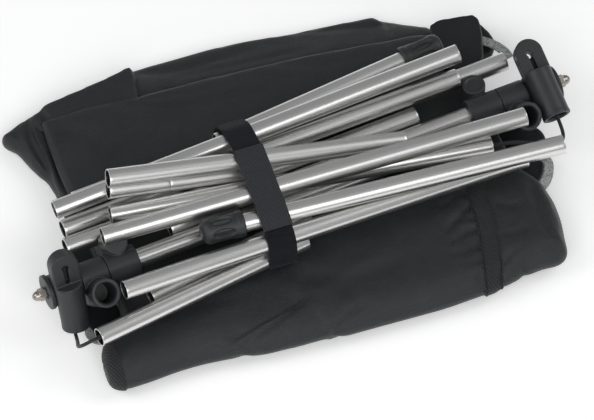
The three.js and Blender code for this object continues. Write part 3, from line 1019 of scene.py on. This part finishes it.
def crease_gap(xy, line):
    """Distance from each place to a line, signed by side, and how far along it the nearest place is."""
    line = catmull(arr(line), 6)
    a, edge = line[:-1], np.diff(line, axis=0)
    size = (edge ** 2).sum(1)
    t = np.clip(((xy[:, None] - a) * edge).sum(2) / size, 0, 1)
    on = a + edge * t[..., None]
    gap = np.linalg.norm(xy[:, None] - on, axis=2)
    best = gap.argmin(1)
    rows = np.arange(len(xy))
    off = xy - on[rows, best]
    side = np.sign(edge[best, 0] * off[:, 1] - edge[best, 1] * off[:, 0])
    return gap[rows, best] * side, (best + t[rows, best]) / len(a)


def valley(xy, line, depth, width):
    gap, along = crease_gap(xy, line)
    fade = np.clip(np.minimum(along, 1 - along) * 5 + 0.15, 0, 1)
    return -depth * MM * np.exp(-(gap / (width * MM)) ** 2) * fade


def ledge(xy, line, height, sharp, reach):
    """One side of a line stands proud of the other, and settles back over reach."""
    gap, along = crease_gap(xy, line)
    fade = smoothstep(np.minimum(along, 1 - along), 0, 0.2)
    rise = smoothstep(gap, -sharp * MM, sharp * MM) * np.exp(-np.maximum(gap, 0) / (reach * MM))
    return height * MM * rise * fade


def swell(made, pressure, cap):
    """Lets the cloth puff out under light pressure, with each point held to within cap of its place."""
    before = coordinates_of(made)
    cloth = made.modifiers.new("cloth", "CLOTH")
    cloth.settings.quality = 5
    cloth.settings.mass = 0.25
    cloth.settings.tension_stiffness = 25
    cloth.settings.compression_stiffness = 25
    cloth.settings.bending_stiffness = 1.2
    cloth.settings.use_pressure = True
    cloth.settings.uniform_pressure_force = pressure
    cloth.settings.effector_weights.gravity = 0
    cloth.collision_settings.use_collision = False
    cloth.collision_settings.use_self_collision = False
    cloth.point_cache.frame_start, cloth.point_cache.frame_end = 1, 20
    for step in range(1, 21):
        bpy.context.scene.frame_set(step)
    settle(made)
    bpy.context.scene.frame_set(1)
    moved = coordinates_of(made) - before
    length = np.linalg.norm(moved, axis=1)[:, None]
    # a soft limit: small moves pass, large ones level off at the cap
    put(made, before + moved / np.maximum(length, 1e-9) * cap * np.tanh(length / cap))


def soft_slab(name, corners, low, high, edge, material, slot, grid=GRID, relief=None, pressure=0, cap=0,
              passes=2):
    """A flat pack of cloth with rounded, folded edges. low, high and edge are functions of place in
    plan: the underside, the top, and how far in from the outline the edge is curved."""
    outline = Outline(corners, passes)
    height = 5 * grid
    made = prism(name, outline.ring, 0, height)
    remesh = made.modifiers.new("remesh", "REMESH")
    remesh.mode = "VOXEL"
    remesh.voxel_size = grid
    settle(made)
    co = coordinates_of(made)
    t = np.clip(co[:, 2] / height, 0, 1)
    xy = co[:, :2]
    gap, foot, out = outline.nearest(xy)
    w = edge(foot, out)
    floor, top = low(xy), high(xy)
    u = np.clip(1 - gap / w, 0, 1)
    v = 2 * t - 1
    round_u, round_v = u * np.sqrt(1 - v * v / 2), v * np.sqrt(1 - u * u / 2)
    inset = np.where(gap < w, w * (1 - round_u), gap)
    xy = np.where((gap < w)[:, None], foot - out * inset[:, None], xy)
    z = (floor + top) / 2 + round_v * (top - floor) / 2
    put(made, np.column_stack([xy, z]))
    if pressure:
        swell(made, pressure, cap)
    more = made.modifiers.new("more", "SUBSURF")
    more.levels = more.render_levels = 1
    settle(made)
    co = coordinates_of(made)
    if relief:
        co = co + normals_of(made) * relief(co)[:, None]
    co[:, 2] = np.maximum(co[:, 2], 0.1 * MM)
    put(made, co)
    dress(made, material, slot)
    return made


def constant(value):
    return lambda *_: value


def roll_relief(co):
    xy = co[:, :2]
    upper = smoothstep(co[:, 2], 2 * MM, 12 * MM)
    under_poles = smoothstep(np.abs(xy[:, 1] + 5 * MM + 0.15 * xy[:, 0]), 60 * MM, 85 * MM)
    move = lumps(co, 90 * MM, 1) * 1.3 * MM + lumps(co, 40 * MM, 2) * 0.7 * MM
    move += lumps(co * (0.3, 1, 1), 22 * MM, 3) * 0.35 * MM
    move += ledge(xy, [(-112, -138), (-92, -134), (-75, -130), (-52, -124), (-27, -114)], -3.4, 1.8, 24)
    move += valley(xy, [(-111, -148), (-90, -140), (-60, -130), (-28, -117)], 1.8, 3.5)
    move += valley(xy, [(-30, -119), (0, -108), (34, -100)], -1.1, 7)
    move += ledge(xy, [(-26, -152), (-12, -147), (10, -138)], 2.4, 1.8, 22)
    move += valley(xy, [(-26, -153), (-12, -147), (14, -136)], 1.7, 3.2)
    move += valley(xy, [(-205, -112), (-189, -101), (-173, -94), (-153, -93), (-128, -97)], 1.6, 6)
    move += valley(xy, [(-205, -104), (-189, -93), (-170, -86), (-150, -85), (-128, -89)], -1.0, 5)
    move += valley(xy, [(184, -66), (181, -90), (179, -118), (184, -142)], 1.7, 4)
    move += ledge(xy, [(184, -66), (181, -90), (179, -118), (184, -142)], -1.6, 3, 16)
    move += valley(xy, [(124, -154), (133, -141), (150, -130)], 2.0, 3)
    move += valley(xy, [(146, -152), (154, -142), (168, -137)], 1.4, 3)
    # puckers where the webbing is sewn down
    gap, along = crease_gap(xy, [(129, -58), (127, -76), (124.7, -97), (120, -122), (113, -146)])
    gap = np.abs(gap + 2 * MM)
    ripple = np.sin(along * 2 * math.pi * 6 + 3 * lumps(co, 30 * MM, 4))
    move += -0.75 * MM * ripple * np.exp(-gap / (10 * MM)) - 1.2 * MM * np.exp(-(gap / (3.5 * MM)) ** 2)
    for line, depth, width in (
        ([(127, -78), (112, -86), (98, -97)], 2.0, 4), ([(125, -98), (110, -104), (94, -106)], 1.5, 4),
        ([(121, -118), (108, -120), (92, -117)], 1.2, 4), ([(128, -62), (116, -66), (100, -72)], 1.4, 4),
        ([(146, -80), (158, -88), (170, -90)], 1.5, 4), ([(140, -112), (154, -116), (166, -113)], 1.3, 4),
        ([(-150, -60), (-120, -92), (-60, -100)], 1.2, 8), ([(-40, -92), (10, -110), (70, -106)], 1.5, 9),
        ([(-178, 118), (-150, 100), (-138, 74)], 1.0, 7), ([(-120, 120), (-60, 107), (30, 97)], 0.8, 6),
        ([(20, 116), (60, 103), (110, 97)], 0.8, 5), ([(-100, 124), (-84, 112), (-50, 104)], 0.9, 5),
    ):
        move += valley(xy, line, depth, width)
    # the poles press the cloth flat
    move = np.where(move > 0, move * (0.35 + 0.65 * under_poles), move)
    return move * upper


def lower_relief(co):
    move = lumps(co, 60 * MM, 5) * 1.0 * MM + lumps(co, 24 * MM, 6) * 0.45 * MM
    for line, depth, width in (
        ([(-177, 147), (-175, 131), (-176, 115), (-180, 84), (-182, 59)], 2.6, 3),
        ([(-189, 143), (-192, 121), (-191, 100), (-189, 76)], 3.0, 2.6),
        ([(-200, 137), (-202, 122), (-199, 108)], 1.2, 3), ([(-90, 162), (-60, 150), (20, 146)], 1.2, 5),
        ([(40, 158), (90, 144), (140, 130)], 1.2, 4), ([(-60, 140), (0, 134), (60, 130)], 0.8, 4),
        ([(126, 149), (132, 134), (128, 116)], 1.2, 3),
    ):
        move += valley(co[:, :2], line, depth, width)
    return move * smoothstep(co[:, 2], 1 * MM, 6 * MM)


ROLL = [(-181, 130), (-141.6, 131.4), (-98.8, 127.7), (-16.5, 123.6), (48.2, 119.4), (99.1, 113.8),
        (149.6, 107.3), (163, 102.4), (175, 90), (179, 60), (180, 0), (183, -50), (193, -61), (198, -74),
        (200, -92), (198.5, -112), (194.5, -130), (190, -146), (181, -150), (166, -148.5), (145, -151.5), (126, -155.5),
        (107, -157.5), (72, -158.5), (37, -157.5), (-11, -156), (-28, -153), (-50, -152.5), (-77, -150.5),
        (-108, -144), (-130, -142), (-152, -142), (-180, -143), (-200, -143), (-208, -139), (-212, -124),
        (-208, -104), (-200, -93), (-184, -84), (-180, -50), (-181, 0), (-183, 36), (-184, 76),
        (-182.5, 107)]
BACK_LAYER = [(-217, 134), (-208.5, 138), (-186.5, 147.5), (-167.8, 151), (-128.6, 158), (-88.3, 166), (-24.2, 165),
              (20, 162), (61, 157), (100, 152), (126, 149), (139, 137), (166, 119), (175, 96),
              (178, 60), (178, 20), (178, -45), (120, -50), (-120, -50), (-181.5, -45), (-182, 5), (-183.5, 14),
              (-191.5, 40), (-190.5, 66.7), (-193, 79.5), (-200, 97), (-207, 119)]
MIDDLE_LAYER = [(-192, 130), (-176, 134), (-150, 128), (-60, 116), (60, 106), (140, 94), (160, 80),
                (160, 20), (-120, 14), (-182, 16), (-187.5, 44), (-188.5, 76), (-190, 106)]
FLAP = [(-203, 129), (-190, 140), (-172, 147), (-130, 153.5), (-104, 157), (-91, 160.5), (-87.5, 158),
        (-88, 148), (-91, 136), (-94, 120), (-130, 118), (-178, 119)]
POCKET = [(160, 106.5), (168.5, 109), (198, 105), (201.5, 99), (199, 84), (191, 60), (184, 52), (166, 54),
          (151, 61), (154, 78)]


def make_cloth():
    front = lambda foot, out: np.where(
        foot[:, 1] < -60 * MM, 11 * MM + (NOSE_REACH - 11 * MM) * smoothstep(-out[:, 1], 0.1, 0.95),
        np.where(foot[:, 1] > 60 * MM, 6 * MM, 9 * MM))
    roll_low = lambda xy: UNDER_Z * smoothstep(xy[:, 1], -20 * MM, 40 * MM)
    roll_high = lambda xy: TOP_Z - 0.6 * MM * smoothstep(np.abs(xy[:, 1]), 40 * MM, 0)
    roll = soft_slab("cloth_roll", ROLL, roll_low, roll_high, front, POLYESTER, "polyester",
                     relief=roll_relief, pressure=4, cap=1.6 * MM)
    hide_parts("fabric_upper_fold")

    back_high = lambda xy: 13 * MM + 7 * MM * smoothstep(-xy[:, 1] - 0.1 * xy[:, 0], -158 * MM, -120 * MM)
    back = soft_slab("cloth_back_layer", BACK_LAYER, constant(0), back_high, constant(7 * MM), POLYESTER,
                     "polyester", relief=lower_relief, pressure=4, cap=1.4 * MM)
    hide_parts("fabric_lower_fold")
    middle = soft_slab("cloth_middle_layer", MIDDLE_LAYER, constant(14 * MM), constant(22.5 * MM),
                       constant(4 * MM), POLYESTER, "polyester", relief=lower_relief)
    flap_high = lambda xy: 16 * MM + 11.5 * MM * smoothstep(xy[:, 0], -205 * MM, -165 * MM)
    flap = soft_slab("cloth_corner_flap", FLAP, constant(12 * MM), flap_high, constant(5 * MM), POLYESTER,
                     "polyester", grid=3 * MM, relief=lower_relief)
    pocket = soft_slab("corner_pocket_cloth", POCKET, constant(27 * MM), constant(35.5 * MM),
                       constant(1.6 * MM), POCKET_CLOTH, "webbing", grid=2 * MM, passes=0,
                       relief=lambda co: lumps(co, 22 * MM, 8) * 0.5 * MM)
    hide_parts("corner_pocket")
    for layer in (roll, back, middle, flap, pocket):
        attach(layer, BUNDLE)
    return roll


def surface(made):
    return bvhtree.BVHTree.FromPolygons(
        [v.co for v in made.data.vertices], [p.vertices for p in made.data.polygons])


def meet(tree, start, aim):
    """Where a ray meets the surface, or failing that the surface's nearest point, and the normal there."""
    place, normal = tree.ray_cast(Vector(start), Vector(aim))[:2]
    if place is None:
        place, normal = tree.find_nearest(Vector(start[:2] + (TOP_Z / 2,)))[:2]
    return tuple(place), tuple(normal)


def laid_ribbon(name, tree, line, nose, width, thickness, material, slot, columns=12):
    """A ribbon laid on a cloth surface along a line in plan, then over the nose past the line's end
    through an angle of nose degrees. Returns the piece and its grid of surface points and normals."""
    line = evenly(catmull(arr(line), 8), 2 * MM, loop=False)
    ways = np.gradient(line, axis=0)
    ways /= np.linalg.norm(ways, axis=1)[:, None]
    offsets = np.linspace(-width / 2, width / 2, columns)
    grid = []
    for p, way in zip(line, ways):
        across = np.array([way[1], -way[0]])
        starts = [(*(p + across * c), 60 * MM) for c in offsets]
        grid.append([meet(tree, q, (0, 0, -1)) for q in starts])
    way = ways[-1]
    across = np.array([way[1], -way[0]])
    for angle in np.radians(np.arange(5, nose, 5)):
        aim = (*(way * math.sin(angle)), math.cos(angle))
        starts = [(*(line[-1] + across * c), TOP_Z / 2) for c in offsets]
        grid.append([meet(tree, q, aim) for q in starts])
    places = np.array([[hit[0] for hit in row] for row in grid])
    normals = np.array([[hit[1] for hit in row] for row in grid])
    rows = len(grid)
    rim = np.ones(columns)
    rim[0] = rim[-1] = 0.45
    upper = places + normals * (thickness * rim)[None, :, None]
    lower = places - normals * 0.4 * MM
    upper[..., 2] = np.maximum(upper[..., 2], 0.05 * MM)
    lower[..., 2] = np.maximum(lower[..., 2], 0.3 * MM)
    along = np.concatenate([[0], np.cumsum(np.linalg.norm(np.diff(places[:, columns // 2], axis=0), axis=1))])
    points = np.concatenate([upper.reshape(-1, 3), lower.reshape(-1, 3)])
    weave = np.array([(along[i], c, 0) for i in range(rows) for c in offsets] * 2)
    n = rows * columns
    at = lambda i, k, under=0: under * n + i * columns + k
    faces = []
    for i in range(rows - 1):
        for k in range(columns - 1):
            faces.append((at(i, k), at(i + 1, k), at(i + 1, k + 1), at(i, k + 1)))
            faces.append((at(i, k, 1), at(i, k + 1, 1), at(i + 1, k + 1, 1), at(i + 1, k, 1)))
        for k in (0, columns - 1):
            faces.append((at(i, k), at(i, k, 1), at(i + 1, k, 1), at(i + 1, k)))
    for i in (0, rows - 1):
        for k in range(columns - 1):
            faces.append((at(i, k), at(i, k + 1), at(i, k + 1, 1), at(i, k, 1)))
    made = piece(name, points, faces, material, slot)
    vectors(made, "weave", weave)
    tidy_mesh(made)
    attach(made, BUNDLE)
    return made, upper, normals


def stitches(name, places, normals, length=2.6 * MM, gap=1.3 * MM, radius=0.28 * MM):
    """A row of separate stitches along a line of surface points."""
    both = evenly(np.column_stack([places, normals]), (length + gap) / 4, loop=False)
    points, faces = [], []
    ring = [(math.cos(a), math.sin(a)) for a in np.arange(6) * math.pi / 3]
    for start in range(0, len(both) - 4, 4):
        seg = both[start:start + 4]
        base = len(points)
        way = seg[-1, :3] - seg[0, :3]
        way /= np.linalg.norm(way)
        for j, row in enumerate(seg):
            up = row[3:] / np.linalg.norm(row[3:])
            side = np.cross(way, up)
            centre = row[:3] + up * radius * (0.9 if j in (1, 2) else -0.4)
            points += [centre + side * radius * c + up * radius * s_ for c, s_ in ring]
        for j in range(3):
            for k in range(6):
                a, b = base + j * 6 + k, base + j * 6 + (k + 1) % 6
                faces.append((a, b, b + 6, a + 6))
        faces.append(tuple(base + k for k in reversed(range(6))))
        faces.append(tuple(base + 18 + k for k in range(6)))
    made = piece(name, points, faces, THREAD, "webbing")
    tidy_mesh(made)
    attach(made, BUNDLE)
    return made


def make_trims(roll):
    tree = surface(roll)
    band_line = [(152, -6), (146, -30), (141, -52), (136.5, -70), (134.5, -92), (131, -112), (127, -128)]
    band, upper, normals = laid_ribbon("webbing_band_ribbed", tree, band_line, 150, 16.5 * MM, 1.5 * MM,
                                       BAND_WEBBING, "webbing")
    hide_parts("webbing_band")
    for side, column in (("left", 1), ("right", -2)):
        row = stitches(f"webbing_band_stitches_{side}", upper[:, column], normals[:, column])
    corner, upper, normals = laid_ribbon("webbing_corner_ribbed", tree, CORNER_LINE, 150, 12 * MM, 1.3 * MM,
                                         BAND_WEBBING, "webbing")
    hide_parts("webbing_corner")
    for name, path, tilt, width, node in EDGINGS:
        way = catmull(arr(path), 8)
        ups = np.tile(tilt, (len(way), 1))
        edging = swept(name, way, flat_section(width * MM, 1.8 * MM), MESH, "edge_mesh", ups)
        if node:
            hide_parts(node)
        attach(edging, BUNDLE)
    # the left fold here is partly cloth and partly painted shade: a thin dark sheet filling the shaded gap by the left
    # hub
    for name, outline, low, high in (("cloth_inner_fold", INNER_FOLD, 3, 18),
                                     ("cloth_outer_fold", OUTER_FOLD, 5, 17),
                                     ("cloth_left_fold", LEFT_FOLD_AND_GAP_SHADE, 0.2, 4),
                                     ("cloth_right_fold", RIGHT_FOLD, 0.2, 4)):
        fold = soft_slab(name, outline, constant(low * MM), constant(high * MM),
                         constant(min(4, (high - low) / 2) * MM), POCKET_CLOTH, "polyester", grid=3 * MM,
                         relief=lower_relief)
        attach(fold, BUNDLE)


CORNER_LINE = [(-199, -97), (-203, -105), (-203.5, -113)]
INNER_FOLD = [(168, -32), (194, -32), (203, -34), (207, -41), (205, -52), (198, -62), (188, -70), (168, -72)]
OUTER_FOLD = [(168, 120), (188, 119), (204, 113.5), (210, 100), (212, 86), (206, 76), (194, 68), (168, 64)]
RIGHT_FOLD = [(172, 14), (196, 9), (212, 2), (219, -7), (219, -18), (211, -36), (172, -42)]
# the left fold is partly real cloth and partly painted shade: a thin dark sheet laid in the shaded gap by the left hub
LEFT_FOLD_AND_GAP_SHADE = [(-176, 44), (-190, 34), (-195.5, 22), (-200, 2), (-206, -25), (-207.5, -50), (-205, -70), (-198, -88),
             (-176, -84)]
# Strips of edging: name, path, which way their flat sides face, width, and the CAD node they replace.
EDGINGS = [
    ("mesh_edge_back_ribbed", [(186, 93, 28), (196.6, 85, 24), (203, 81.5, 22), (208.5, 76.5, 21),
                               (213, 69.5, 20), (215, 62, 19)], (0.1, 0.1, 1.0), 9.5, "mesh_edge_back"),
    ("mesh_edge_front_ribbed", [(194, -39, 17), (203, -41, 18), (207.5, -48, 19), (205, -58.3, 20),
                                (198, -68.8, 21), (188, -75.5, 22), (180, -78, 22)], (0.3, -0.3, 0.9), 9,
     "mesh_edge_front"),
    ("mesh_edge_left_ribbed", [(-199, -62, 2), (-204, -66, 2.2), (-206.5, -72, 2.6), (-205, -79, 3.4),
                               (-200, -84, 5)], (0, 0, 1), 9, None),
]
make_trims(make_cloth())


# ---- stage, light and finish ------------------------------------------------------------------
def make_stage():
    size = 6.0
    corners = [(-size, -size, 0), (size, -size, 0), (size, size, 0), (-size, size, 0)]
    mesh = bpy.data.meshes.new("floor")
    mesh.from_pydata(corners, [], [(0, 1, 2, 3)])
    floor = bpy.data.objects.new("floor", mesh)
    bpy.context.scene.collection.objects.link(floor)
    paper = Finish("pale_paper", (0.93, 0.93, 0.925), 0.9)
    paper.shade(paper.noise(3, detail=4), 0.985, 1.0)
    paper.shader.inputs["Emission Color"].default_value = (1, 1, 1, 1)
    paper.shader.inputs["Emission Strength"].default_value = 0.26
    mesh.materials.append(paper.material)


def soft_light(name, direction, distance, width, height, power):
    data = bpy.data.lights.new(name, "AREA")
    data.shape = "RECTANGLE"
    data.size, data.size_y = width, height
    data.energy = power
    light = bpy.data.objects.new(name, data)
    bpy.context.scene.collection.objects.link(light)
    light.location = LOOK_AT + direction * distance
    light.rotation_mode = "QUATERNION"
    light.rotation_quaternion = (-direction).to_track_quat("-Z", "Y")


def make_light():
    world = bpy.data.worlds.new("studio")
    world.use_nodes = True
    sky = world.node_tree.nodes["Background"]
    sky.inputs["Color"].default_value = (0.97, 0.985, 1.0, 1)
    sky.inputs["Strength"].default_value = 0.31
    bpy.context.scene.world = world
    soft_light("key_softbox", towards(-20, 39), 2.7, 2.6, 1.9, 36)
    # the poles run from side to side, so these light the cloth and floor and hardly show in the metal
    soft_light("left_softbox", towards(-100, 42), 2.5, 1.4, 1.4, 14)
    soft_light("right_softbox", towards(78, 42), 2.5, 1.4, 1.4, 14)
    bpy.context.scene.view_settings.view_transform = "Standard"


make_stage()
make_light()


for node in frame["nodes"].values():
    if not node.hide_render:
        slot_name = next(s["material_slot"] for s in frame["record"]["subparts"] if s["node"] == node.name)
        finishes = {"aluminium": ALUMINIUM, "steel": STEEL, "nylon": NYLON, "rubber": RUBBER,
                    "polyester": POLYESTER, "webbing": WEBBING, "edge_mesh": MESH, "shock_cord": CORD}
        node.data.materials.clear()
        node.data.materials.append(finishes[slot_name])
